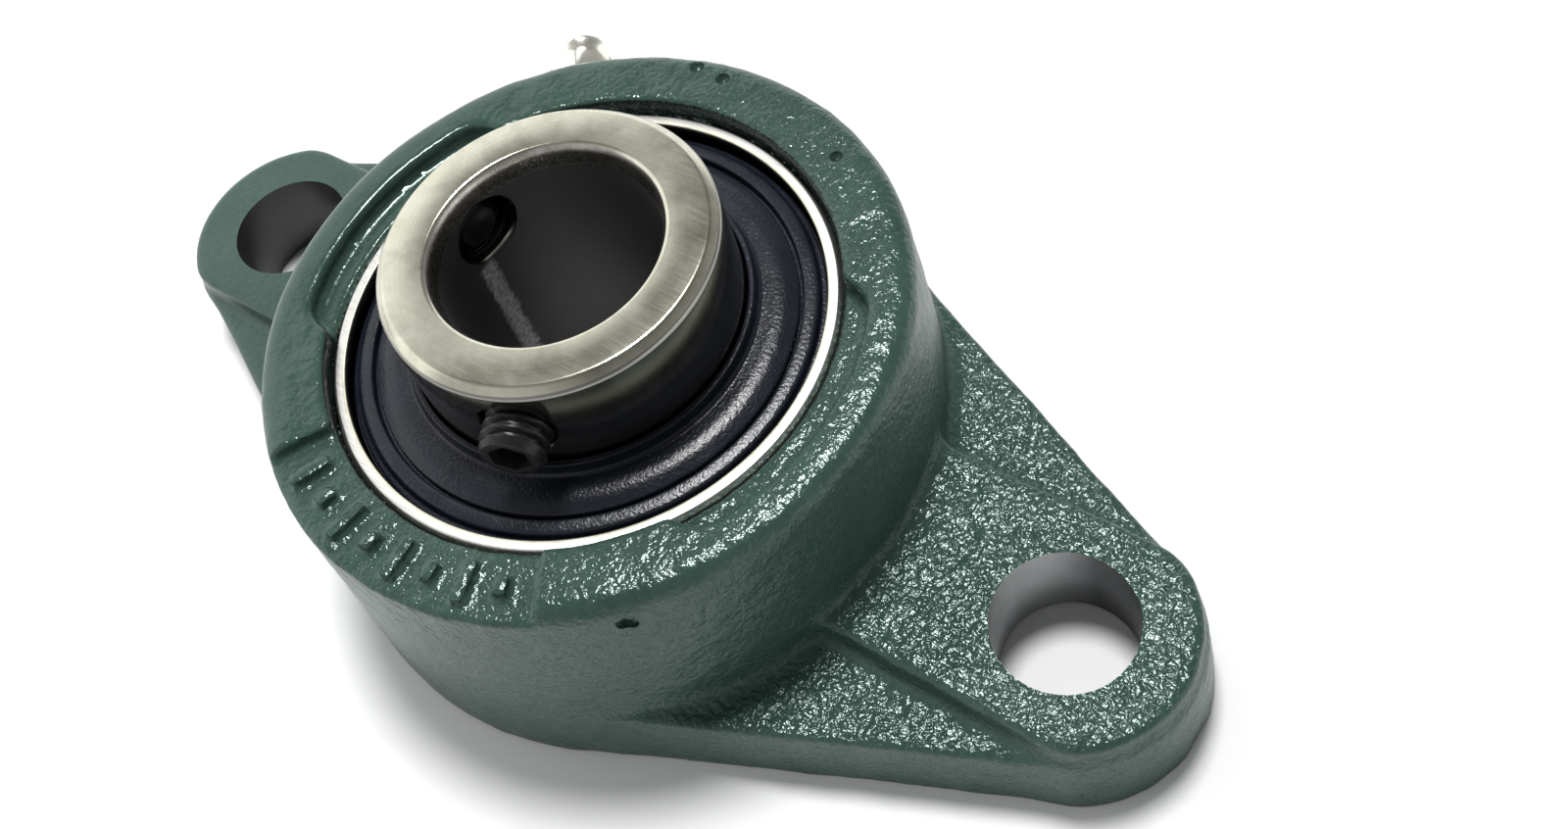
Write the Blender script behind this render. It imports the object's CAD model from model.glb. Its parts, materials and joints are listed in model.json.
"""Look of the flange mount bearing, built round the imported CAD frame.

Lengths inside the builders are millimetres in the row frame. Every mesh is turned into metres
when its object is made. The shaft axis is +Z and the bolt holes lie on the X axis.
"""

import json
import math

import bmesh
import bpy
import numpy as np
from mathutils import Matrix, Vector, noise


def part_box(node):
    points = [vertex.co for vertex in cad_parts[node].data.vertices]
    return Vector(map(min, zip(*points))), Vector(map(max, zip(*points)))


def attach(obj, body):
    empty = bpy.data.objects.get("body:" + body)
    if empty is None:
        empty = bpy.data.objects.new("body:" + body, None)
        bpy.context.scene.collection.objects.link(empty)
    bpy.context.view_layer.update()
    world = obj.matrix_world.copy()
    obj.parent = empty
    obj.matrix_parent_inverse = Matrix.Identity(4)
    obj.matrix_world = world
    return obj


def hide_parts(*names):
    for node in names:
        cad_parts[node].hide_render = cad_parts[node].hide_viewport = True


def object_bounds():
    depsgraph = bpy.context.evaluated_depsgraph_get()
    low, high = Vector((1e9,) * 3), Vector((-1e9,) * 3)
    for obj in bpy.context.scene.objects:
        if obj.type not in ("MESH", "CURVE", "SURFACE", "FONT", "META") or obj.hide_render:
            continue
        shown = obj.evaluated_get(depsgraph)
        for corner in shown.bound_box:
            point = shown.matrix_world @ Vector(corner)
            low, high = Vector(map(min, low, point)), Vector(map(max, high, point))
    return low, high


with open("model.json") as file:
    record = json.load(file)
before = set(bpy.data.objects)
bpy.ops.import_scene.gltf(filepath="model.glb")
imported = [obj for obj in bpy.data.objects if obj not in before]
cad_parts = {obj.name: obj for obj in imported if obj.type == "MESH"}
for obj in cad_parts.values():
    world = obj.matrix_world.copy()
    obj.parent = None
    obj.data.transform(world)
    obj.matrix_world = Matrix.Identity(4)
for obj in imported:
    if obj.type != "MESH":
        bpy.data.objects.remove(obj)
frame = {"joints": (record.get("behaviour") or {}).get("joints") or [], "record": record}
CAD_LOW, CAD_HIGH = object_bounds()
JOINTS = {joint["name"]: joint for joint in frame["joints"]}
MM = 0.001


def low_mm(node):
    return Vector(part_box(node)[0]) * 1000.0


def high_mm(node):
    return Vector(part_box(node)[1]) * 1000.0


def joint_place(name):
    return Vector(JOINTS[name]["pos_m"]) * 1000.0


def slide_degrees(name):
    """The direction, in degrees round Z, that a part which slides inward faces."""
    axis = JOINTS[name]["axis"]
    return math.degrees(math.atan2(-axis[1], -axis[0]))


# Sizes read from the frame.
MOUNTS = {mount["name"]: Vector(mount["pos_m"]) * 1000.0 for mount in frame["record"]["mounts"]}
BOLT_REACH = MOUNTS["bolt_seat_a"].x
PAD_TOP = MOUNTS["bolt_seat_a"].z
CENTRE_Z = joint_place("insert_tilt").z
BOSS_RADIUS = high_mm("housing").y
EAR_RADIUS = high_mm("housing").x - BOLT_REACH
SCREW_ANGLES = {
    "set_screw_a": slide_degrees("set_screw_a_travel"),
    "set_screw_b": slide_degrees("set_screw_b_travel"),
}
SCREW_Z = (low_mm("set_screw_a").z + high_mm("set_screw_a").z) / 2
NIPPLE_ANGLE = slide_degrees("nipple_ball_travel")
NIPPLE_Z = (low_mm("nipple_ball").z + high_mm("nipple_ball").z) / 2
BALL_CIRCLE = joint_place("ball_1_spin").x
BALL_RADIUS = (high_mm("ball_1").z - low_mm("ball_1").z) / 2

# Housing sizes that the frame doesn't name.
BOSS_TOP = 24.5
WEB_TOP = 7.0
PAD_HALF_WIDTH = 9.9
FLANGE_DRAFT = 0.06
BOSS_DRAFT = 0.042
SLOT_DEPTH = 1.75
SLOT_RADIUS = 24.8
SLOT_HALF_WIDTH = 12.1
MOUTH_RADIUS = 22.5
MARK_DEPTH = 1.1
MARK_ANGLE = -90.0
MARK_HALF_SPAN = 31.0
MARK_RIB_COUNT = 8
MARK_RIB_STEP = 7.0
MARK_RIB_HALF_WIDTH = 0.68
BOLT_HOLE_RADIUS = 6.0
SEAT_SPHERE = 23.65

# Insert and nipple sizes. Heights and widths are from the insert's middle.
SHAFT_RADIUS = 9.525
BALL_COUNT = 8
RACE_GAP = 0.12
OUTER_SPHERE = 23.5
OUTER_LAND = 19.2
OUTER_HALF_WIDTH = 7.75
INNER_LAND = 14.5
SCREW_HALF_LENGTH = 2.5
SCREW_RADIUS = 2.8
THREAD_RADIUS = 3.4
CHECK_BALL_RADIUS = 0.95
CHECK_BALL_HEIGHT = 5.65

# How finely the casting and the round pieces are divided.
GRID_STEP = 0.4
TURNED_SEGMENTS = 240
SCREW_COLUMNS = 72
HOLE_COLUMNS = 60

# The studio: the lamp, the dim sky overhead, and the walls of light in front, low down at
# the right, and behind. Each wall has a level and the edges that bound it. An edge is an
# azimuth, an elevation, and the cosines to that direction where it starts and is full.
KEY_RADIANCE = 60.0
KEY_SIZE = 0.22
SKY_STOPS = ((0.0, 0.42), (0.5, 0.24), (0.75, 0.15))
LIGHT_WALLS = (
    (0.6, ((-115.0, 0.0, 0.25, 0.85),)),
    (1.8, ((15.0, -35.0, 0.6, 0.75),)),
    (1.4, ((165.0, 0.0, 0.3, 0.5), (180.0, -37.4, -0.03, 0.09))),
)

# Blow holes in the casting: azimuth, radius, height, size and depth.
PITS = (
    (-45.5, 28.55, 21.8, 0.6, 0.3),
    (-44.5, 28.6, 21.5, 0.42, 0.3),
    (103.0, 27.1, 24.4, 0.6, 0.5),
    (96.5, 26.3, 24.4, 0.55, 0.5),
    (63.0, 25.6, 24.4, 0.5, 0.5),
)

# The camera, for a 1600 by 846 frame: place in millimetres, its axes, focal length and centre in
# parts of that frame.
FRAME_WIDTH, FRAME_HEIGHT = 1600.0, 846.0
CAMERA_PLACE = (78.6137, -45.4197, 135.0055)
CAMERA_RIGHT = (0.799575, 0.560358, -0.216050)
CAMERA_DOWN = (0.362164, -0.736866, -0.570847)
CAMERA_FORWARD = (-0.479079, 0.378189, -0.792121)
FOCAL_LENGTH = 1728.84
CENTRE_ACROSS, CENTRE_DOWN = 751.21, 295.08
SENSOR_WIDTH = 36.0


# Mesh helpers.


def polar(radius, degrees):
    angle = math.radians(degrees)
    return radius * math.cos(angle), radius * math.sin(angle)


def make_piece(name, points, faces, materials, smooth_angle=40.0, face_slots=None):
    """An object in metres from points in millimetres, with the materials in slot order."""
    mesh = bpy.data.meshes.new(name)
    mesh.from_pydata([tuple(float(c) * MM for c in p) for p in points], [], faces)
    return finish_mesh(name, mesh, materials, smooth_angle, face_slots)


def finish_mesh(name, mesh, materials, smooth_angle=40.0, face_slots=None):
    for material in materials:
        mesh.materials.append(material)
    if face_slots is not None:
        mesh.polygons.foreach_set("material_index", face_slots)
    mesh.update()
    bm = bmesh.new()
    bm.from_mesh(mesh)
    bmesh.ops.recalc_face_normals(bm, faces=bm.faces)
    bm.to_mesh(mesh)
    bm.free()
    mesh.polygons.foreach_set("use_smooth", [True] * len(mesh.polygons))
    mesh.set_sharp_from_angle(angle=math.radians(smooth_angle))
    item = bpy.data.objects.new(name, mesh)
    bpy.context.scene.collection.objects.link(item)
    return item


def rounded(profile, steps=4):
    """A turned profile whose corners (radius, height, round) are rounded with small arcs."""
    points = []
    count = len(profile)
    for index, (radius, height, size) in enumerate(profile):
        here = Vector((radius, height))
        if size <= 0.0:
            points.append((radius, height))
            continue
        before = Vector(profile[index - 1][:2]) - here
        after = Vector(profile[(index + 1) % count][:2]) - here
        reach = min(size, before.length * 0.45, after.length * 0.45)
        start = here + before.normalized() * reach
        end = here + after.normalized() * reach
        for step in range(steps + 1):
            t = step / steps
            place = start * (1 - t) ** 2 + here * (2 * t * (1 - t)) + end * t**2
            points.append((place.x, place.y))
    return points


def turned(profile, segments, centre_z=0.0, closed=True):
    """Points and faces of a profile turned about Z. An open one starts and ends on the axis."""
    points = []
    rows = []
    for radius, height in profile:
        if radius < 1e-6:
            points.append((0.0, 0.0, height + centre_z))
            rows.append([len(points) - 1] * segments)
            continue
        row = []
        for step in range(segments):
            x, y = polar(radius, 360.0 * step / segments)
            points.append((x, y, height + centre_z))
            row.append(len(points) - 1)
        rows.append(row)
    pairs = list(zip(rows, rows[1:]))
    if closed:
        pairs.append((rows[-1], rows[0]))
    faces = []
    for lower, upper in pairs:
        for step in range(segments):
            following = (step + 1) % segments
            ring = [lower[step], lower[following], upper[following], upper[step]]
            face = list(dict.fromkeys(ring))
            if len(face) > 2:
                faces.append(face)
    return points, faces


def axis_matrix(degrees, reach, height):
    """Places a piece drawn along +Z so that its axis points outward in the XY plane."""
    x, y = polar(reach, degrees)
    place = Matrix.Translation((x, y, height))
    turn = Matrix.Rotation(math.radians(degrees), 4, "Z") @ Matrix.Rotation(math.pi / 2, 4, "Y")
    return place @ turn


def placed(points, matrix):
    return [tuple(matrix @ Vector(point)) for point in points]


def cut(target, cutter):
    """Cuts the cutter out of the target and removes it. Both have to be closed meshes."""
    modifier = target.modifiers.new("cut", "BOOLEAN")
    modifier.operation = "DIFFERENCE"
    modifier.solver = "MANIFOLD"
    modifier.object = cutter
    bpy.context.view_layer.update()
    graph = bpy.context.evaluated_depsgraph_get()
    mesh = bpy.data.meshes.new_from_object(target.evaluated_get(graph))
    target.modifiers.clear()
    old = target.data
    target.data = mesh
    mesh.polygons.foreach_set("use_smooth", [True] * len(mesh.polygons))
    mesh.set_sharp_from_angle(angle=math.radians(40.0))
    bpy.data.meshes.remove(old)
    bpy.data.objects.remove(cutter)


# Signed distances for the casting, on arrays of points in millimetres.


def smooth_min(a, b, size):
    h = np.clip(0.5 + 0.5 * (b - a) / size, 0.0, 1.0)
    return b * (1 - h) + a * h - size * h * (1 - h)


def smooth_max(a, b, size):
    return -smooth_min(-a, -b, size)


def hull_of_circles(x, y, big, small, reach):
    """Distance to the outline of a big circle at the centre and a small one out along X."""
    x = np.abs(x)
    y = np.abs(y)
    slope = (big - small) / reach
    side = math.sqrt(1 - slope * slope)
    along = x * side - y * slope
    across = x * slope + y * side - big
    to_big = np.hypot(x, y) - big
    to_small = np.hypot(x - reach, y) - small
    return np.where(along < 0.0, to_big, np.where(along > reach * side, to_small, across))


def sector_distance(x, y, centre_degrees, half_span):
    """Distance to a wedge from the axis, negative inside."""
    turn = math.radians(-centre_degrees)
    along = x * math.cos(turn) - y * math.sin(turn)
    across = np.abs(x * math.sin(turn) + y * math.cos(turn))
    half = math.radians(half_span)
    return across * math.cos(half) - along * math.sin(half)


def rib_distance(x, y, z, index):
    """One plain raised rib in the mark sector. Every second one is shorter."""
    trim = 1.0 * (index % 2)
    turn = math.radians(-MARK_ANGLE - MARK_RIB_STEP * (index - (MARK_RIB_COUNT - 1) / 2))
    along = x * math.cos(turn) - y * math.sin(turn)
    across = np.abs(x * math.sin(turn) + y * math.cos(turn))
    ends = np.abs(along - 25.7) - (1.9 - trim)
    rib = smooth_max(across - MARK_RIB_HALF_WIDTH, ends, 0.4)
    rib = smooth_max(rib, z - BOSS_TOP + 0.2, 0.25)
    return np.maximum(rib, BOSS_TOP - 2.0 - z)


def casting_distance(p):
    """The cast housing before it is machined, with its fillets and rounds."""
    x, y, z = p[:, 0], p[:, 1], p[:, 2]
    radius = np.hypot(x, y)
    web_side = hull_of_circles(x, y, BOSS_RADIUS, EAR_RADIUS, BOLT_REACH) + FLANGE_DRAFT * z
    web = smooth_max(web_side, z - WEB_TOP, 0.75)
    pad_side = smooth_max(web_side, np.abs(y) - PAD_HALF_WIDTH + 0.12 * (z - WEB_TOP), 0.8)
    pad = smooth_max(pad_side, z - PAD_TOP, 0.7)
    plate = smooth_min(web, pad, 1.1)
    boss = smooth_max(radius - BOSS_RADIUS + BOSS_DRAFT * z, z - BOSS_TOP, 2.0)
    body = smooth_min(plate, boss, 0.3 + 1.3 * np.clip((np.abs(x) - 10.0) / 14.0, 0.0, 1.0))
    slot = smooth_max(np.abs(y) - SLOT_HALF_WIDTH, radius - SLOT_RADIUS, 2.0)
    slot = smooth_max(slot, BOSS_TOP - SLOT_DEPTH - z, 0.5)
    body = smooth_max(body, -slot, 0.7)
    mark = sector_distance(x, y, MARK_ANGLE, MARK_HALF_SPAN)
    mark = smooth_max(mark, BOSS_TOP - MARK_DEPTH - z, 0.35)
    body = smooth_max(body, -mark, 0.4)
    for index in range(MARK_RIB_COUNT):
        body = smooth_min(body, rib_distance(x, y, z, index), 0.3)
    mouth = np.maximum(radius - MOUTH_RADIUS, 22.2 - z)
    body = smooth_max(body, -mouth, 0.6)
    for degrees, reach, height, size, depth in PITS:
        px, py = polar(reach, degrees)
        hollow = np.sqrt((x - px) ** 2 + (y - py) ** 2 + (z - height) ** 2) - size
        body = smooth_max(body, -hollow, 0.3 * depth)
    return body


def surface_mesh(distance, low, high, step):
    """Quads round the zero surface of a distance function, one point in each cell it crosses."""
    counts = [int(math.ceil((b - a) / step)) + 1 for a, b in zip(low, high)]
    axes = [a + step * np.arange(n) for a, n in zip(low, counts)]
    grid = np.stack(np.meshgrid(*axes, indexing="ij"), axis=-1).reshape(-1, 3)
    field = distance(grid).reshape(counts)
    inside = field < 0.0
    cells = tuple(n - 1 for n in counts)
    total = np.zeros(cells)
    centre = np.zeros((*cells, 3))
    crossings = []
    for axis in range(3):
        first = [slice(None)] * 3
        second = [slice(None)] * 3
        first[axis] = slice(0, -1)
        second[axis] = slice(1, None)
        a, b = field[tuple(first)], field[tuple(second)]
        crossed = inside[tuple(first)] != inside[tuple(second)]
        share = np.where(crossed, a / np.where(crossed, a - b, 1.0), 0.0)
        crossings.append((crossed, inside[tuple(first)]))
        others = [k for k in range(3) if k != axis]
        for du in (0, 1):
            for dv in (0, 1):
                pick = [slice(None)] * 3
                pick[others[0]] = slice(du, du + cells[others[0]])
                pick[others[1]] = slice(dv, dv + cells[others[1]])
                hit = crossed[tuple(pick)]
                total += hit
                centre[..., axis] += np.where(hit, share[tuple(pick)], 0.0)
                centre[..., others[0]] += hit * du
                centre[..., others[1]] += hit * dv
    used = total > 0
    index = np.full(cells, -1)
    index[used] = np.arange(int(used.sum()))
    corner = np.stack(np.nonzero(used), axis=-1)
    points = (corner + centre[used] / total[used][:, None]) * step + np.array(low)
    faces = []
    for axis, (crossed, starts_inside) in enumerate(crossings):
        u, v = [(axis + 1) % 3, (axis + 2) % 3]
        place = np.stack(np.nonzero(crossed), axis=-1)
        keep = (place[:, u] > 0) & (place[:, v] > 0)
        keep &= (place[:, u] < cells[u]) & (place[:, v] < cells[v])
        place = place[keep]
        outward = starts_inside[tuple(place.T)]
        ring = []
        for du, dv in ((1, 1), (0, 1), (0, 0), (1, 0)):
            cell = place.copy()
            cell[:, u] -= du
            cell[:, v] -= dv
            ring.append(index[tuple(cell.T)])
        quads = np.stack(ring, axis=-1)
        quads[~outward] = quads[~outward][:, ::-1]
        faces.append(quads)
    return points, np.concatenate(faces)


def gradient(distance, p, reach=0.02):
    slope = np.empty_like(p)
    for axis in range(3):
        offset = np.zeros(3)
        offset[axis] = reach
        slope[:, axis] = distance(p + offset) - distance(p - offset)
    return slope / np.maximum(np.linalg.norm(slope, axis=1), 1e-9)[:, None]


def noise_field(points, wavelength, seed):
    """Smooth noise at each point, about -1 to 1."""
    scale = 1.0 / wavelength
    shift = Vector((seed * 17.3, seed * 5.1, seed * 9.7))
    return np.array([noise.noise(Vector(p) * scale + shift) for p in points])


def cast_surface(points, normals):
    """How far the painted casting stands off its plain shape, in millimetres."""
    x, z = points[:, 0], points[:, 2]
    upward = np.clip((normals[:, 2] - 0.6) / 0.3, 0.0, 1.0)
    coarse = noise_field(points, 2.6, 1)
    fine = noise_field(points, 1.15, 2)
    swell = noise_field(points, 9.0, 3)
    near_ear = np.clip((x + 30.0) / 25.0, 0.15, 1.0)
    rim = np.clip((z - 22.0) / 1.5, 0.0, 1.0)
    hammered = upward * np.where(rim > 0, 0.35, near_ear)
    calm = np.clip((x + 30.0) / 12.0, 0.12, 1.0)
    side = 1.0 - upward
    bumps = coarse * (0.05 + 0.03 * hammered + 0.015 * side) * calm
    bumps += fine * (0.028 + 0.035 * hammered + 0.024 * side) * calm
    return bumps + swell * 0.09 - 0.14


# Materials. Texture positions are object coordinates in metres, so they follow each body.


class Nodes:
    """Short names for building one material."""

    def __init__(self, name):
        self.material = bpy.data.materials.new(name)
        self.material.use_nodes = True
        self.tree = self.material.node_tree
        self.shader = self.tree.nodes["Principled BSDF"]
        self.place = self.tree.nodes.new("ShaderNodeTexCoord").outputs["Object"]

    def link(self, output, target):
        self.tree.links.new(output, target)

    def add(self, kind, **inputs):
        node = self.tree.nodes.new(kind)
        for key, value in inputs.items():
            socket = node.inputs[key.replace("_", " ")]
            if hasattr(value, "is_output"):
                self.link(value, socket)
            else:
                socket.default_value = value
        return node

    def noise(self, wavelength, detail=3.0, roughness=0.5, place=None, distortion=0.0):
        """Noise whose features are about this many millimetres across."""
        node = self.add(
            "ShaderNodeTexNoise",
            Vector=place or self.place,
            Scale=1000.0 / wavelength,
            Detail=detail,
            Roughness=roughness,
            Distortion=distortion,
        )
        return node.outputs["Fac"]

    def ramp(self, value, *stops):
        """A colour ramp. Each stop is a place and a colour or a grey."""
        node = self.add("ShaderNodeValToRGB", Fac=value)
        elements = node.color_ramp.elements
        while len(elements) < len(stops):
            elements.new(0.5)
        for element, (at, colour) in zip(elements, stops):
            element.position = at
            if not hasattr(colour, "__len__"):
                colour = (colour, colour, colour)
            element.color = (*colour, 1.0)
        return node.outputs["Color"]

    def span(self, value, low, high, from_low=0.0, from_high=1.0):
        """The value carried from one range to another."""
        node = self.tree.nodes.new("ShaderNodeMapRange")
        self.link(value, node.inputs["Value"])
        node.inputs["From Min"].default_value = from_low
        node.inputs["From Max"].default_value = from_high
        node.inputs["To Min"].default_value = low
        node.inputs["To Max"].default_value = high
        return node.outputs["Result"]

    def mix(self, share, first, second, blend="MIX"):
        node = self.tree.nodes.new("ShaderNodeMix")
        node.data_type = "RGBA"
        node.blend_type = blend
        for value, index in ((share, 0), (first, 6), (second, 7)):
            socket = node.inputs[index]
            if hasattr(value, "is_output"):
                self.link(value, socket)
            elif hasattr(value, "__len__"):
                socket.default_value = (*value, 1.0)
            else:
                socket.default_value = value
        return node.outputs[2]

    def maths(self, operation, first, second=0.0, third=0.0):
        node = self.tree.nodes.new("ShaderNodeMath")
        node.operation = operation
        for socket, value in zip(node.inputs, (first, second, third)):
            if hasattr(value, "is_output"):
                self.link(value, socket)
            else:
                socket.default_value = value
        return node.outputs[0]

    def times(self, first, second):
        return self.maths("MULTIPLY", first, second)

    def plus(self, first, second):
        return self.maths("ADD", first, second)

    def parts(self, vector=None):
        """The X, Y and Z outputs of a vector, by default the object position."""
        return self.add("ShaderNodeSeparateXYZ", Vector=vector or self.place).outputs

    def stretched(self, x, y, z):
        """The object position scaled along each axis."""
        node = self.add("ShaderNodeMapping", Vector=self.place)
        node.inputs["Scale"].default_value = (x, y, z)
        return node.outputs["Vector"]

    def radius(self):
        """Distance from the Z axis, in metres."""
        parts = self.parts()
        squares = [self.maths("POWER", parts[axis], 2.0) for axis in "XY"]
        return self.maths("SQRT", self.plus(*squares))

    def bump(self, height, distance_mm, strength=1.0, normal=None):
        node = self.add("ShaderNodeBump", Height=height, Strength=strength, Distance=distance_mm * MM)
        if normal is not None:
            self.link(normal, node.inputs["Normal"])
        return node.outputs["Normal"]

    def finish(self, colour, roughness, metallic, normal=None, **extra):
        shader = self.shader.inputs
        for value, key in ((colour, "Base Color"), (roughness, "Roughness"), (metallic, "Metallic")):
            if hasattr(value, "is_output"):
                self.link(value, shader[key])
            elif hasattr(value, "__len__"):
                shader[key].default_value = (*value, 1.0)
            else:
                shader[key].default_value = value
        if normal is not None:
            self.link(normal, shader["Normal"])
        for key, value in extra.items():
            shader[key.replace("_", " ")].default_value = value
        return self.material


def green_enamel():
    n = Nodes("green_enamel")
    facing = n.parts(n.add("ShaderNodeNewGeometry").outputs["Normal"])
    place = n.parts()
    upward = n.span(facing["Z"], 0.0, 1.0, 0.55, 0.9)
    along = n.span(place["X"], 0.1, 1.0, -0.028, -0.006)
    tone = n.ramp(
        n.noise(7.0, 5.0, 0.6),
        (0.3, (0.031, 0.067, 0.053)),
        (0.5, (0.037, 0.077, 0.060)),
        (0.72, (0.045, 0.089, 0.069)),
    )
    speckle = n.ramp(n.noise(0.5, 3.0, 0.6), (0.36, 0.72), (0.6, 1.0))
    colour = n.mix(0.5, tone, speckle, "MULTIPLY")
    for degrees, reach, height, size, _ in PITS:
        pit = n.add("ShaderNodeVectorMath", Vector=n.place)
        pit.operation = "DISTANCE"
        pit.inputs[1].default_value = (*(c * MM for c in polar(reach, degrees)), height * MM)
        hollow = n.span(pit.outputs["Value"], 0.15, 1.0, size * 0.85 * MM, size * 1.2 * MM)
        colour = n.mix(1.0, colour, n.ramp(hollow, (0.0, 0.0), (1.0, 1.0)), "MULTIPLY")
    mouth = n.span(n.radius(), 1.0, 0.0, 0.0226, 0.0229)
    wall = n.times(mouth, n.span(facing["Z"], 1.0, 0.0, 0.3, 0.8))
    colour = n.mix(n.times(wall, 0.9), colour, (0.004, 0.005, 0.005))
    rim = n.span(place["Z"], 1.0, 0.3, 0.016, 0.02)
    worms = n.noise(0.62, 1.2, 0.5, distortion=0.35)
    peel = n.plus(n.noise(0.5, 2.0, 0.6), n.times(n.noise(1.9, 2.0), 1.2))
    first = n.add("ShaderNodeBump", Height=peel, Distance=0.2 * MM)
    n.link(n.times(along, n.span(upward, 1.0, 0.45)), first.inputs["Strength"])
    node = n.add("ShaderNodeBump", Height=worms, Distance=0.26 * MM, Normal=first.outputs["Normal"])
    n.link(n.times(n.times(upward, along), rim), node.inputs["Strength"])
    roughness = n.plus(n.span(n.noise(1.6, 4.0, 0.6), 0.13, 0.22), n.span(upward, 0.13, 0.0))
    tint = (0.84, 1.0, 0.96, 1.0)
    return n.finish(colour, roughness, 0.0, node.outputs["Normal"], IOR=1.5, Specular_Tint=tint)


def machined_iron():
    n = Nodes("machined_iron")
    lines = n.noise(0.25, 2.0, 0.5, n.stretched(0.12, 0.12, 6.0))
    patches = n.noise(4.0, 4.0, 0.6)
    colour = n.ramp(patches, (0.3, (0.026, 0.027, 0.029)), (0.7, (0.040, 0.041, 0.043)))
    across = n.parts()["X"]
    bare = n.span(across, 0.0, 1.0, 0.03, 0.034)
    worn = n.span(across, 0.0, 1.0, 0.039, 0.048)
    worn = n.ramp(worn, (0.0, (0.62, 0.64, 0.65)), (0.6, (0.11, 0.115, 0.12)))
    worn = n.mix(0.6, worn, n.ramp(patches, (0.3, 0.6), (0.7, 1.0)), "MULTIPLY")
    colour = n.mix(bare, colour, worn)
    normal = n.bump(lines, 0.015, 0.5)
    return n.finish(colour, n.span(lines, 0.3, 0.42), n.times(bare, 0.85), normal, IOR=1.6)


def ground_steel():
    n = Nodes("ground_steel")
    parts = n.parts()
    radius = n.radius()
    cross = n.noise(0.4, 3.0, 0.55, n.stretched(0.1, 2.4, 2.4))
    rings = n.add("ShaderNodeCombineXYZ", X=radius).outputs["Vector"]
    turning = n.noise(0.22, 2.0, 0.5, rings)
    patches = n.noise(3.4, 5.0, 0.65)
    stains = n.ramp(n.noise(2.6, 4.0, 0.6), (0.46, 1.0), (0.7, 0.8))
    base = n.ramp(patches, (0.3, (0.60, 0.59, 0.47)), (0.7, (0.70, 0.695, 0.58)))
    base = n.mix(1.0, base, stains, "MULTIPLY")
    base = n.mix(0.25, base, n.ramp(cross, (0.35, 0.84), (0.65, 1.0)), "MULTIPLY")
    outer = n.span(radius, 0.0, 1.0, 0.0214, 0.0216)
    base = n.mix(outer, base, n.ramp(cross, (0.3, (0.62, 0.61, 0.58)), (0.7, (0.80, 0.79, 0.75))))

    # Dark places: the bore below its corner, the thread walls and the seal groove.
    ragged = n.plus(parts["Z"], n.span(n.noise(0.7, 5.0, 0.75), -0.0005, 0.0005))
    bore = n.span(radius, 1.0, 0.0, 0.0097, 0.0098)
    bore = n.times(bore, n.span(ragged, 1.0, 0.0, 0.0311, 0.0313))
    blotches = n.ramp(n.noise(0.9, 5.0, 0.75), (0.56, 0.0), (0.62, 1.0))
    corner = n.times(n.span(radius, 1.0, 0.0, 0.0098, 0.0101), blotches)
    corner = n.times(corner, n.span(parts["Y"], 1.0, 0.0, -0.0035, -0.0015))
    inside = n.span(radius, 1.0, 0.0, 0.01434, 0.01438)
    inside = n.times(inside, n.span(radius, 0.0, 1.0, 0.00985, 0.0099))
    thread = n.times(inside, n.span(parts["Z"], 1.0, 0.0, 0.0323, 0.0325))
    thread = n.times(thread, n.span(parts["Z"], 0.0, 1.0, 0.0235, 0.0238))
    groove = n.span(radius, 0.0, 1.0, 0.0208, 0.0209)
    groove = n.times(groove, n.span(radius, 1.0, 0.0, 0.0214, 0.0215))
    groove = n.times(groove, n.span(parts["Z"], 1.0, 0.0, 0.02245, 0.02258))

    # A rubbed streak down the bore beside the second set screw.
    cosine, sine = polar(1.0, -176.0)
    aside = n.maths("SUBTRACT", n.times(parts["Y"], cosine), n.times(parts["X"], sine))
    wander = n.span(n.noise(0.8, 5.0, 0.7), -0.0006, 0.0006)
    streak = n.span(n.maths("ABSOLUTE", n.plus(aside, wander)), 1.0, 0.0, 0.0006, 0.0011)
    streak = n.times(streak, n.span(parts["X"], 1.0, 0.0, -0.009, -0.008))
    streak = n.times(streak, n.span(parts["Z"], 1.0, 0.0, 0.0245, 0.0252))
    streak = n.times(streak, n.ramp(n.noise(0.5, 4.0, 0.7), (0.35, 0.3), (0.6, 1.0)))

    bevel = n.span(radius, 1.0, 0.0, 0.0100, 0.0102)
    bevel = n.times(bevel, n.span(parts["Z"], 0.0, 1.0, 0.0305, 0.031))
    scuffs = n.ramp(n.noise(0.9, 5.0, 0.7), (0.35, (0.40, 0.375, 0.33)), (0.65, (0.62, 0.60, 0.56)))
    base = n.mix(bevel, base, scuffs)
    colour = n.mix(corner, base, (0.10, 0.095, 0.085))
    colour = n.mix(bore, colour, n.mix(streak, (0.16, 0.158, 0.158), (0.95, 0.96, 0.97)))
    colour = n.mix(n.maths("MAXIMUM", thread, groove), colour, (0.03, 0.029, 0.03))
    polish = n.plus(n.span(cross, 0.13, 0.2), n.span(patches, -0.02, 0.04))
    turned_face = n.span(radius, 0.0, 0.2, 0.0196, 0.0199)
    collar = n.span(radius, 0.0, 1.0, 0.01425, 0.01432)
    collar = n.times(collar, n.span(radius, 1.0, 0.0, 0.0146, 0.0147))
    colour = n.mix(collar, colour, (0.30, 0.29, 0.27))
    roughness = n.plus(n.plus(polish, turned_face), n.times(thread, 0.2))
    matt = n.maths("MAXIMUM", n.times(bore, 0.38), n.times(bevel, 0.1))
    roughness = n.plus(roughness, matt)
    normal = n.bump(turning, 0.006, 0.4, n.bump(cross, 0.008, 0.2))
    return n.finish(colour, roughness, n.span(n.times(streak, bore), 1.0, 0.2), normal)


def ball_steel():
    n = Nodes("ball_steel")
    haze = n.noise(1.5, 4.0, 0.6)
    colour = n.ramp(haze, (0.3, 0.58), (0.7, 0.66))
    return n.finish(colour, n.span(haze, 0.06, 0.14), 1.0, n.bump(n.noise(0.3), 0.002, 0.3))


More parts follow.
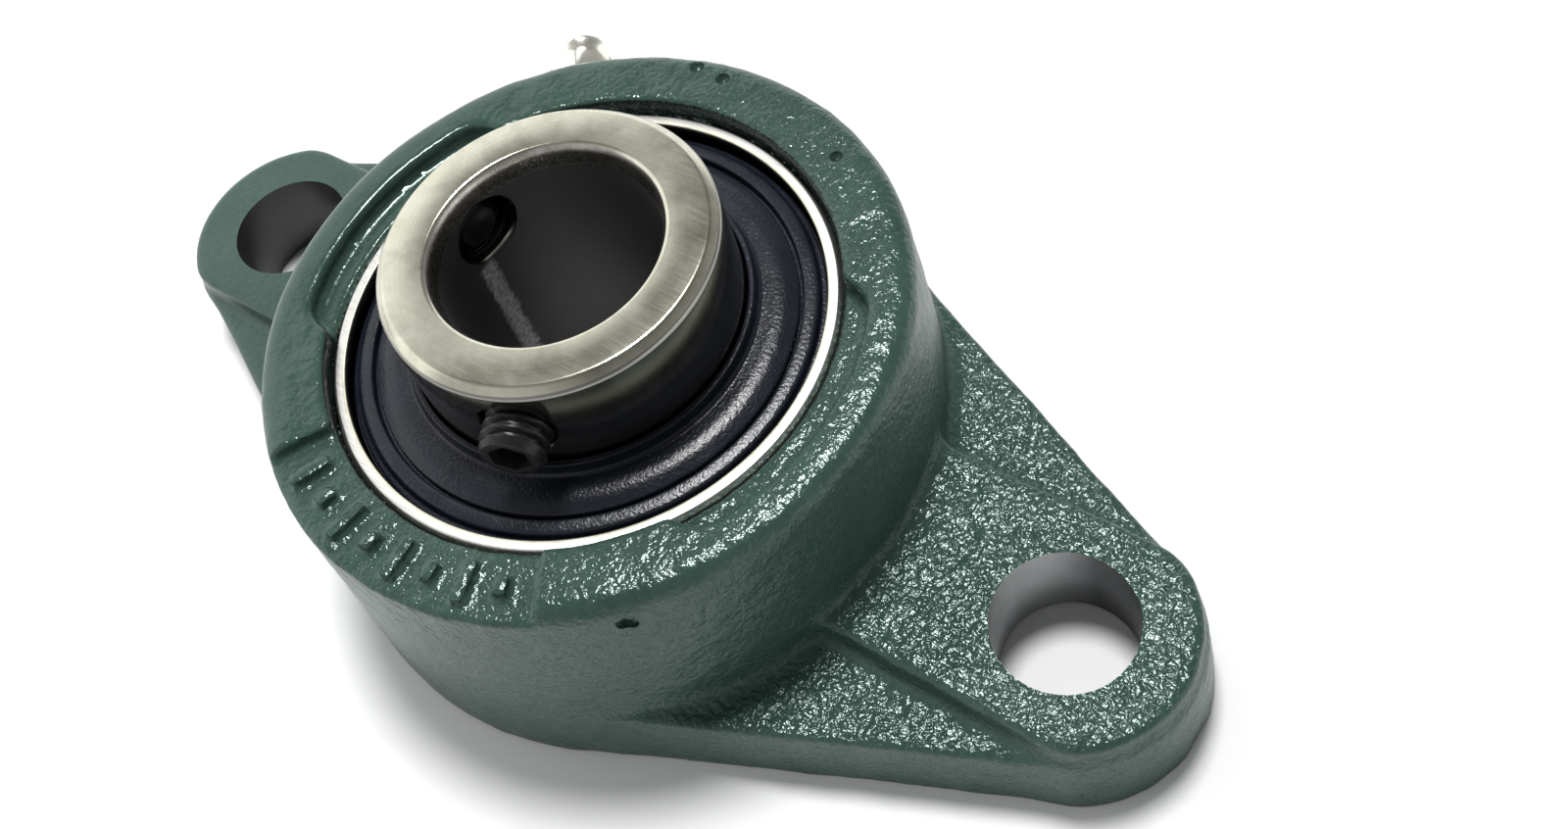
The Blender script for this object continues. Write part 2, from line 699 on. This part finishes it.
def pressed_steel():
    n = Nodes("pressed_steel")
    grain = n.noise(0.4, 4.0, 0.6)
    patches = n.noise(3.0, 3.0, 0.6)
    colour = n.ramp(patches, (0.3, (0.36, 0.35, 0.33)), (0.7, (0.48, 0.47, 0.44)))
    return n.finish(colour, n.span(grain, 0.3, 0.5), 1.0, n.bump(grain, 0.012, 0.5))


def blued_steel():
    n = Nodes("blued_steel")
    grain = n.noise(0.3, 2.0, 0.6)
    patches = n.noise(3.5, 4.0, 0.6)
    colour = n.ramp(patches, (0.3, (0.007, 0.009, 0.015)), (0.7, (0.013, 0.016, 0.025)))
    dust = n.ramp(n.noise(0.35, 5.0, 0.75), (0.68, 0.0), (0.76, 1.0))
    colour = n.mix(n.times(dust, 0.25), colour, (0.13, 0.13, 0.15))
    roughness = n.span(patches, 0.2, 0.3)
    return n.finish(colour, roughness, 0.0, n.bump(grain, 0.05, 0.8), IOR=1.42)


def black_rubber():
    n = Nodes("black_rubber")
    grain = n.noise(0.2, 4.0, 0.6)
    colour = n.ramp(n.noise(2.0, 3.0), (0.3, 0.012), (0.7, 0.024))
    return n.finish(colour, n.span(grain, 0.5, 0.7), 0.0, n.bump(grain, 0.01, 0.5))


def black_oxide():
    n = Nodes("black_oxide")
    grain = n.noise(0.18, 3.0, 0.6)
    wear = n.ramp(n.noise(0.8, 4.0, 0.7), (0.55, 0.0), (0.75, 1.0))
    colour = n.mix(n.times(wear, 0.3), (0.012, 0.012, 0.013), (0.06, 0.058, 0.055))
    return n.finish(colour, n.span(grain, 0.26, 0.44), 0.0, n.bump(grain, 0.012, 0.5), IOR=1.42)


def zinc_plate():
    n = Nodes("zinc_plate")
    patches = n.noise(1.8, 4.0, 0.6)
    grain = n.noise(0.22, 3.0, 0.6)
    pale, white, cream = (0.91, 0.89, 0.74), (0.96, 0.95, 0.88), (0.93, 0.91, 0.85)
    colour = n.ramp(patches, (0.3, pale), (0.6, white), (0.8, cream))
    return n.finish(colour, n.span(grain, 0.18, 0.3), 0.9, n.bump(grain, 0.01, 0.4))


def make_materials():
    builders = (
        green_enamel,
        machined_iron,
        ground_steel,
        ball_steel,
        pressed_steel,
        blued_steel,
        black_rubber,
        black_oxide,
        zinc_plate,
    )
    return {builder.__name__: builder() for builder in builders}


# The pieces.


def seat_cutter():
    """The machined hollow: rear bore, spherical seat with its grease groove, front mouth."""
    profile = [(0.0, -1.0), (23.9, -1.0), (22.9, 0.0), (22.25, 0.65)]
    edge = math.degrees(math.asin(8.05 / SEAT_SPHERE))
    for step in range(25):
        angle = -edge + 2 * edge * step / 24
        x, y = polar(SEAT_SPHERE, angle)
        if 1.8 < y < 4.2:
            x += 0.3
        profile.append((x, CENTRE_Z + y))
    profile += [(22.26, BOSS_TOP + 1.0), (0.0, BOSS_TOP + 1.0)]
    return turned(profile, TURNED_SEGMENTS, closed=False)


def rod_cutter(radius, start, end, matrix, segments):
    """A round bar from start to end along the matrix's Z axis."""
    profile = [(0.0, start), (radius, start), (radius, end), (0.0, end)]
    points, faces = turned(profile, segments, closed=False)
    return placed(points, matrix), faces


def build_housing(materials):
    low = (-BOLT_REACH - EAR_RADIUS - 1.5, -BOSS_RADIUS - 1.5, -2.1)
    high = (BOLT_REACH + EAR_RADIUS + 1.5, BOSS_RADIUS + 1.5, BOSS_TOP + 1.5)

    def solid(p):
        return np.maximum(casting_distance(p), -1.2 - p[:, 2])

    points, faces = surface_mesh(solid, low, high, GRID_STEP)
    upper = points[:, 2] > -0.6
    for _ in range(3):
        normals = gradient(casting_distance, points[upper])
        away = casting_distance(points[upper])
        points[upper] -= normals * np.clip(away, -0.4, 0.4)[:, None]
    normals = gradient(casting_distance, points[upper])
    points[upper] += normals * cast_surface(points[upper], normals)[:, None]
    widest = [CAD_HIGH.x * 1000, CAD_HIGH.y * 1000, 99.0]
    points = np.clip(points, [CAD_LOW.x * 1000, CAD_LOW.y * 1000, -3.0], widest)
    green, iron = materials["green_enamel"], materials["machined_iron"]
    housing = make_piece("housing_casting", points, faces.tolist(), [green, iron])

    def machine(name, points, faces):
        """Cuts a shape out of the casting and leaves its walls bare iron."""
        cut(housing, make_piece(name, points, faces, [green, iron], face_slots=[1] * len(faces)))

    block = [(-70, -40, -5), (70, -40, -5), (70, 40, -5), (-70, 40, -5)]
    block += [(x, y, 0.0) for x, y, _ in block]
    sides = [(0, 1, 2, 3), (4, 5, 6, 7), (0, 1, 5, 4), (1, 2, 6, 5), (2, 3, 7, 6), (3, 0, 4, 7)]
    cut(housing, make_piece("base_cut", block, sides, [green, iron], face_slots=[0] * 6))
    for side in (1, -1):
        place = Matrix.Translation((side * BOLT_REACH, 0.0, 0.0))
        machine("hole_cut", *rod_cutter(BOLT_HOLE_RADIUS, -2.0, PAD_TOP + 2.0, place, 96))
    machine("seat_cut", *seat_cutter())
    nipple = axis_matrix(NIPPLE_ANGLE, 0.0, NIPPLE_Z)
    machine("nipple_cut", *rod_cutter(2.85, 26.6, 33.0, nipple, 48))
    machine("passage_cut", *rod_cutter(1.2, 20.0, 28.0, nipple, 32))
    housing.data.polygons.foreach_set("use_smooth", [True] * len(housing.data.polygons))
    housing.data.set_sharp_from_angle(angle=math.radians(50.0))
    ship(housing, "housing", "green_enamel", "housing")


def ship(item, body, slot, *nodes):
    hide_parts(*nodes)
    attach(item, body)


def build_outer_ring(materials):
    race = BALL_RADIUS + RACE_GAP
    profile = []
    edge = math.degrees(math.asin(7.4 / OUTER_SPHERE))
    for step in range(17):
        profile.append((*polar(OUTER_SPHERE, -edge + 2 * edge * step / 16), 0.0))
    race_edge = math.degrees(math.acos((OUTER_LAND - BALL_CIRCLE) / race))
    profile += [(22.14, OUTER_HALF_WIDTH, 0.2), (21.2, OUTER_HALF_WIDTH, 0.14), (21.2, 7.1, 0.1)]
    profile += [(21.32, 6.85, 0.1), (21.32, 6.2, 0.1), (21.2, 5.7, 0.1), (OUTER_LAND, 5.6, 0.15)]
    for step in range(13):
        x, y = polar(race, race_edge - 2 * race_edge * step / 12)
        profile.append((BALL_CIRCLE + x, y, 0.0))
    profile += [(OUTER_LAND, -5.6, 0.15), (21.2, -5.7, 0.1), (21.32, -6.2, 0.1)]
    profile += [(21.32, -6.85, 0.1), (21.2, -7.1, 0.1)]
    profile += [(21.2, -OUTER_HALF_WIDTH, 0.14), (22.14, -OUTER_HALF_WIDTH, 0.2)]
    points, faces = turned(rounded(profile), TURNED_SEGMENTS, CENTRE_Z)
    ring = make_piece("outer_ring_turned", points, faces, [materials["ground_steel"]])
    for angle in (40.0, 220.0):
        points, faces = rod_cutter(0.7, 18.0, 25.0, axis_matrix(angle, 0.0, CENTRE_Z + 4.3), 24)
        cut(ring, make_piece("grease_cut", points, faces, [materials["ground_steel"]]))
    ship(ring, "outer_ring", "ground_steel", "outer_ring")


def threaded(crest, depth, pitch, start, end, fade, columns):
    """Rows of points round a helical thread, from start to end along Z, faded out at both ends."""
    rows_per_pitch = 10
    count = max(2, int(round((end - start) / pitch * rows_per_pitch)))
    rows = []
    for row in range(count + 1):
        height = start + (end - start) * row / count
        from_end = min(height - start, end - height)
        strength = min(1.0, max(0.0, from_end / fade))
        ring = []
        for column in range(columns):
            phase = (height / pitch - column / columns) % 1.0
            groove = 0.5 + 0.5 * math.cos(2 * math.pi * phase)
            groove = min(1.0, max(0.0, 1.35 * groove - 0.15))
            radius = crest - depth * groove * strength - 0.35 * (1 - strength) * depth
            ring.append((*polar(radius, 360.0 * column / columns), height))
        rows.append(ring)
    return rows


def rows_to_mesh(rows):
    """Faces between rows of the same length. A row of one point closes an end."""
    points = []
    indices = []
    for row in rows:
        indices.append(list(range(len(points), len(points) + len(row))))
        points += row
    columns = max(len(row) for row in rows)
    faces = []
    for lower, upper in zip(indices, indices[1:]):
        for step in range(columns):
            following = (step + 1) % columns
            a, b = lower[step % len(lower)], lower[following % len(lower)]
            c, d = upper[following % len(upper)], upper[step % len(upper)]
            face = list(dict.fromkeys([a, b, c, d]))
            if len(face) > 2:
                faces.append(face)
    return points, faces


def ring_row(radius, height, columns, flats=0.0):
    """One row of points, round or with six flats that far from the axis."""
    row = []
    for column in range(columns):
        degrees = 360.0 * column / columns
        reach = radius
        if flats:
            reach = min(radius, flats / math.cos(math.radians(degrees % 60.0 - 30.0)))
        row.append((*polar(reach, degrees), height))
    return row


def ring_rows(columns, rings):
    """Rows from (radius, height) or (radius, height, flats)."""
    return [ring_row(radius, height, columns, *flats) for radius, height, *flats in rings]


def build_inner_ring(materials):
    race = BALL_RADIUS + RACE_GAP
    race_edge = math.degrees(math.acos((BALL_CIRCLE - INNER_LAND) / race))
    profile = [(SHAFT_RADIUS, -10.9, 0.7), (9.78, -12.1, 0.6), (10.15, -12.7, 0.25)]
    profile += [(13.7, -12.7, 0.25), (INNER_LAND, -11.9, 0.25)]
    for step in range(13):
        x, y = polar(race, 180.0 + race_edge - 2 * race_edge * step / 12)
        profile.append((BALL_CIRCLE + x, y, 0.0))
    profile += [(INNER_LAND, 17.5, 0.3), (13.7, 18.3, 0.22), (10.15, 18.3, 0.25), (9.78, 17.7, 0.6)]
    profile += [(SHAFT_RADIUS, 16.5, 0.7)]
    profile += [(SHAFT_RADIUS, height, 0.0) for height in (15.0, 12.0, 9.0, 6.0, 2.0, -2.0, -6.0)]
    points, faces = turned(rounded(profile), TURNED_SEGMENTS, CENTRE_Z)
    ring = make_piece("inner_ring_turned", points, faces, [materials["ground_steel"]])
    for angle in SCREW_ANGLES.values():
        rows = [[(0.0, 0.0, 6.0)], ring_row(3.15, 6.0, HOLE_COLUMNS)]
        rows += threaded(THREAD_RADIUS, 0.26, 1.0, 7.0, 17.0, 0.01, HOLE_COLUMNS)
        rows += [ring_row(THREAD_RADIUS, 18.0, HOLE_COLUMNS), [(0.0, 0.0, 18.0)]]
        points, faces = rows_to_mesh(rows)
        points = placed(points, axis_matrix(angle, 0.0, SCREW_Z))
        cut(ring, make_piece("thread_cut", points, faces, [materials["ground_steel"]]))
    ship(ring, "inner_ring", "ground_steel", "inner_ring")


def build_set_screws(materials):
    half = SCREW_HALF_LENGTH
    point = ((0.9, 0.25 - half), (1.55, -half), (1.85, -half))
    socket = ((2.35, half - 0.05), (2.2, half), (1.85, half), (1.8, half - 0.05, 1.56))
    socket += ((1.8, half - 0.3, 1.5), (1.8, half - 2.5, 1.5), (1.2, half - 2.6))
    for name, angle in SCREW_ANGLES.items():
        rows = [[(0.0, 0.0, 0.35 - half)]] + ring_rows(SCREW_COLUMNS, point)
        rows += threaded(SCREW_RADIUS, 0.5, 1.0, 0.75 - half, half - 0.45, 0.3, SCREW_COLUMNS)
        rows += ring_rows(SCREW_COLUMNS, socket) + [[(0.0, 0.0, half - 2.9)]]
        points, faces = rows_to_mesh(rows)
        middle = (low_mm(name) + high_mm(name)) / 2
        points = placed(points, axis_matrix(angle, math.hypot(middle.x, middle.y), SCREW_Z))
        screw = make_piece(f"{name}_threaded", points, faces, [materials["black_oxide"]], 35.0)
        ship(screw, name, "black_oxide", name)


def ball_profile(radius, steps):
    arc = [polar(radius, -90.0 + 180.0 * step / steps) for step in range(1, steps)]
    return [(0.0, -radius), *arc, (0.0, radius)]


def build_balls(materials):
    profile = ball_profile(BALL_RADIUS, 32)
    for index in range(BALL_COUNT):
        place = joint_place(f"ball_{index + 1}_spin")
        points, faces = turned(profile, 64, closed=False)
        points = placed(points, Matrix.Translation(place))
        ball = make_piece(f"ball_{index + 1}_polished", points, faces, [materials["ball_steel"]])
        ship(ball, f"ball_{index + 1}", "ball_steel", f"ball_{index + 1}")


def cage_path(side, thickness, split, pocket, steps):
    """Along and height of the inner and outer faces of one pitch of the ribbon."""
    crown = pocket + thickness
    near = math.degrees(math.asin(split / pocket))
    far = math.degrees(math.asin((split + thickness) / crown))
    path = []
    for step in range(steps + 1):
        t = step / steps
        inside = polar(pocket, 180.0 - near - (180.0 - 2 * near) * t)
        outside = polar(crown, 180.0 - far - (180.0 - 2 * far) * t)
        path.append((inside, outside))
    half_pitch = math.pi * BALL_CIRCLE / BALL_COUNT
    edge = crown + 0.25
    for along in (edge, half_pitch, 2 * half_pitch - edge):
        path.append(((along, split), (along, split + thickness)))
    return [[(along, side * height) for along, height in pair] for pair in path]


def build_cage(materials):
    steel = [materials["pressed_steel"]]
    for name, side in (("cage_front", 1), ("cage_rear", -1)):
        path = cage_path(side, 0.7, 0.15, BALL_RADIUS + 0.25, 20)
        points = []
        rows = []
        for index in range(BALL_COUNT):
            for inside, outside in path:
                row = []
                corners = ((inside, 15.45), (inside, 18.05), (outside, 18.05), (outside, 15.45))
                for (along, height), radius in corners:
                    degrees = math.degrees(along / BALL_CIRCLE) + 360.0 * index / BALL_COUNT
                    row.append(len(points))
                    points.append((*polar(radius, degrees), height + CENTRE_Z))
                rows.append(row)
        faces = []
        for first, second in zip(rows, rows[1:] + rows[:1]):
            for corner in range(4):
                following = (corner + 1) % 4
                faces.append([first[corner], first[following], second[following], second[corner]])
        half = make_piece(f"{name}_ribbon", points, faces, steel, 45.0)
        for index in range(BALL_COUNT):
            x, y = polar(BALL_CIRCLE, 360.0 * (index + 0.5) / BALL_COUNT)
            points, faces = rod_cutter(0.75, -2.0, 2.0, Matrix.Translation((x, y, CENTRE_Z)), 24)
            cut(half, make_piece("rivet_cut", points, faces, steel))
        bevel = half.modifiers.new("edges", "BEVEL")
        bevel.width = 0.08 * MM
        bevel.segments = 2
        bevel.limit_method = "ANGLE"
        bevel.angle_limit = math.radians(50.0)
        ship(half, "cage", "pressed_steel", name)
    profile = [(0.0, -1.5, 0.0), (0.75, -1.48, 0.2), (1.05, -1.0, 0.1), (0.55, -1.0, 0.08)]
    profile += [(0.55, 1.0, 0.08), (1.05, 1.0, 0.1), (0.75, 1.48, 0.2), (0.0, 1.5, 0.0)]
    for index in range(BALL_COUNT):
        x, y = polar(BALL_CIRCLE, 360.0 * (index + 0.5) / BALL_COUNT)
        points, faces = turned(rounded(profile), 32, closed=False)
        points = placed(points, Matrix.Translation((x, y, CENTRE_Z)))
        rivet = make_piece(f"cage_rivet_{index + 1}_headed", points, faces, steel)
        ship(rivet, "cage", "pressed_steel", f"cage_rivet_{index + 1}")


def build_seals(materials):
    plate = [(16.7, 5.75, 0.1), (21.0, 5.75, 0.15), (21.0, 6.25, 0.15), (20.5, 6.3, 0.12)]
    plate += [(20.3, 6.88, 0.25), (19.7, 7.0, 0.3), (19.05, 7.05, 0.2), (18.95, 6.25, 0.1)]
    plate += [(16.7, 6.25, 0.1)]
    lip = [(14.75, 5.3, 0.05), (15.4, 5.6, 0.2), (16.4, 5.6, 0.1), (16.4, 6.4, 0.1), (15.4, 6.4, 0.2)]
    lip += [(14.75, 5.9, 0.05)]
    flinger = [(14.7, 6.75, 0.1), (17.4, 6.75, 0.15), (18.1, 6.5, 0.2), (18.65, 6.5, 0.1)]
    flinger += [(18.65, 6.85, 0.1), (18.2, 7.05, 0.3), (17.6, 7.3, 0.4), (16.8, 7.45, 0.5)]
    flinger += [(15.6, 7.45, 0.2), (15.3, 7.7, 0.25), (15.2, 8.7, 0.15), (14.7, 8.7, 0.15)]
    for place, side in (("front", 1), ("rear", -1)):
        rows = (
            ("seal_plate", plate, "blued_steel", "outer_ring"),
            ("seal_lip", lip, "black_rubber", "outer_ring"),
            ("flinger", flinger, "blued_steel", "inner_ring"),
        )
        for name, profile, slot, body in rows:
            section = [(radius, side * height) for radius, height in rounded(profile)]
            points, faces = turned(section, TURNED_SEGMENTS, CENTRE_Z)
            item = make_piece(f"{place}_{name}_turned", points, faces, [materials[slot]])
            ship(item, body, slot, f"{place}_{name}")


def build_nipple(materials):
    matrix = axis_matrix(NIPPLE_ANGLE, BOSS_RADIUS, NIPPLE_Z)
    hexagon = ((2.6, 0.15), (3.25, 0.15, 3.1), (3.62, 0.5, 3.2), (3.62, 2.6, 3.2), (3.25, 3.0, 3.2))
    neck = ((2.6, 3.1), (2.2, 3.35), (2.02, 3.9), (2.0, 4.3), (2.2, 4.7), (2.55, 5.15), (2.62, 5.5))
    head = ((2.55, 5.9), (2.2, 6.4), (1.6, 6.95), (1.35, 7.15), (1.1, 7.2), (0.72, 7.2), (0.6, 7.05))
    passage = ((0.6, 6.6), (1.15, 5.9), (1.15, -2.3), (0.6, -2.3), (0.6, -2.9))
    rows = ring_rows(SCREW_COLUMNS, ((0.6, -2.9), (2.2, -2.9)))
    rows += threaded(2.6, 0.3, 0.75, -2.7, 0.1, 0.2, SCREW_COLUMNS)
    rows += ring_rows(SCREW_COLUMNS, hexagon + neck + head + passage)
    points, faces = rows_to_mesh(rows)
    zinc = [materials["zinc_plate"]]
    body = make_piece("nipple_body_turned", placed(points, matrix), faces, zinc, 30.0)
    bm = bmesh.new()
    bm.from_mesh(body.data)
    bmesh.ops.remove_doubles(bm, verts=bm.verts, dist=1e-7)
    bm.to_mesh(body.data)
    bm.free()
    ship(body, "housing", "zinc_plate", "nipple_body")

    points, faces = turned(ball_profile(CHECK_BALL_RADIUS, 16), 32, CHECK_BALL_HEIGHT, closed=False)
    ball = make_piece("nipple_ball_polished", placed(points, matrix), faces, [materials["ball_steel"]])
    ship(ball, "nipple_ball", "ball_steel", "nipple_ball")

    rows = []
    turns, per_turn, sides = 5, 28, 10
    coil, wire, foot, length = 0.78, 0.14, -2.0, 6.2
    for step in range(turns * per_turn + 1):
        angle = 360.0 * step / per_turn
        height = foot + length * step / (turns * per_turn)
        row = []
        for corner in range(sides):
            across, up = polar(wire, 360.0 / sides * corner)
            row.append((*polar(coil + across, angle), height + up))
        rows.append(row)
    first = [tuple(sum(p[k] for p in rows[0]) / sides for k in range(3))]
    last = [tuple(sum(p[k] for p in rows[-1]) / sides for k in range(3))]
    points, faces = rows_to_mesh([first] + rows + [last])
    steel = [materials["pressed_steel"]]
    spring = make_piece("nipple_spring_coil", placed(points, matrix), faces, steel)
    ship(spring, "housing", "pressed_steel", "nipple_spring")


# The studio.


def build_stage():
    n = Nodes("floor_paper")
    tone = n.ramp(n.noise(60.0, 3.0, 0.5), (0.3, 0.93), (0.7, 0.95))
    paper = n.finish(tone, 0.8, 0.0, n.bump(n.noise(1.2, 3.0), 0.02, 0.2))
    bm = bmesh.new()
    bmesh.ops.create_grid(bm, x_segments=8, y_segments=8, size=3.0)
    mesh = bpy.data.meshes.new("floor")
    bm.to_mesh(mesh)
    bm.free()
    mesh.materials.append(paper)
    floor = bpy.data.objects.new("floor", mesh)
    floor.location.z = CAD_LOW.z - 0.0002
    bpy.context.scene.collection.objects.link(floor)


def add_lamp(name, azimuth, elevation, distance, size, radiance, target=(0.0, 0.0, 0.012)):
    """A soft box seen from the part at this azimuth (from +X) and elevation, in degrees."""
    data = bpy.data.lights.new(name, "AREA")
    data.shape = "DISK"
    data.size = size
    data.energy = radiance * math.pi * math.pi * size * size / 4
    lamp = bpy.data.objects.new(name, data)
    a, e = math.radians(azimuth), math.radians(elevation)
    away = Vector((math.cos(e) * math.cos(a), math.cos(e) * math.sin(a), math.sin(e)))
    lamp.location = Vector(target) + away * distance
    lamp.rotation_euler = (-away).to_track_quat("-Z", "Y").to_euler()
    bpy.context.scene.collection.objects.link(lamp)


def wall_share(tree, place, edges):
    """How much of a wall of light is seen in each direction: 1 where it is full on every edge."""
    share = None
    for azimuth, elevation, start, full in edges:
        towards = tree.nodes.new("ShaderNodeVectorMath")
        towards.operation = "DOT_PRODUCT"
        tree.links.new(place, towards.inputs[0])
        height = math.sin(math.radians(elevation))
        towards.inputs[1].default_value = (*polar(math.cos(math.radians(elevation)), azimuth), height)
        edge = tree.nodes.new("ShaderNodeMapRange")
        tree.links.new(towards.outputs["Value"], edge.inputs["Value"])
        edge.inputs["From Min"].default_value = start
        edge.inputs["From Max"].default_value = full
        if share is None:
            share = edge.outputs["Result"]
            continue
        both = tree.nodes.new("ShaderNodeMath")
        both.operation = "MULTIPLY"
        tree.links.new(share, both.inputs[0])
        tree.links.new(edge.outputs["Result"], both.inputs[1])
        share = both.outputs[0]
    return share


def build_lights():
    """A dim overhead sky with walls of light round it, and one round lamp."""
    world = bpy.data.worlds.new("studio")
    bpy.context.scene.world = world
    world.use_nodes = True
    tree = world.node_tree
    place = tree.nodes.new("ShaderNodeTexCoord").outputs["Generated"]
    parts = tree.nodes.new("ShaderNodeSeparateXYZ")
    tree.links.new(place, parts.inputs["Vector"])
    sky = tree.nodes.new("ShaderNodeValToRGB")
    tree.links.new(parts.outputs["Z"], sky.inputs["Fac"])
    while len(sky.color_ramp.elements) < len(SKY_STOPS):
        sky.color_ramp.elements.new(0.5)
    for element, (at, grey) in zip(sky.color_ramp.elements, SKY_STOPS):
        element.position = at
        element.color = (grey, grey, grey * 1.01, 1.0)
    light = sky.outputs["Color"]
    for level, edges in LIGHT_WALLS:
        blend = tree.nodes.new("ShaderNodeMix")
        blend.data_type = "RGBA"
        tree.links.new(wall_share(tree, place, edges), blend.inputs[0])
        tree.links.new(light, blend.inputs[6])
        blend.inputs[7].default_value = (level, level, level, 1.0)
        light = blend.outputs[2]
    tree.links.new(light, tree.nodes["Background"].inputs["Color"])
    add_lamp("key", 120.0, 75.0, 0.9, KEY_SIZE, KEY_RADIANCE)


def build_camera():
    """The camera at the photograph's viewing angle."""
    data = bpy.data.cameras.new("camera")
    camera = bpy.data.objects.new("camera", data)
    bpy.context.scene.collection.objects.link(camera)
    right, down, forward = Vector(CAMERA_RIGHT), Vector(CAMERA_DOWN), Vector(CAMERA_FORWARD)
    turn = Matrix((right, -down, -forward)).transposed()
    camera.matrix_world = Matrix.Translation(Vector(CAMERA_PLACE) * MM) @ turn.to_4x4()
    data.sensor_width = SENSOR_WIDTH
    data.lens = FOCAL_LENGTH * SENSOR_WIDTH / FRAME_WIDTH
    data.shift_x = (FRAME_WIDTH / 2 - CENTRE_ACROSS) / FRAME_WIDTH
    data.shift_y = (CENTRE_DOWN - FRAME_HEIGHT / 2) / FRAME_WIDTH
    data.clip_start = 0.01
    data.clip_end = 10.0
    bpy.context.scene.camera = camera


def main():
    bpy.context.scene.view_settings.view_transform = "Standard"
    materials = make_materials()
    build_housing(materials)
    build_outer_ring(materials)
    build_inner_ring(materials)
    build_set_screws(materials)
    build_balls(materials)
    build_cage(materials)
    build_seals(materials)
    build_nipple(materials)
    build_stage()
    build_lights()
    build_camera()


main()
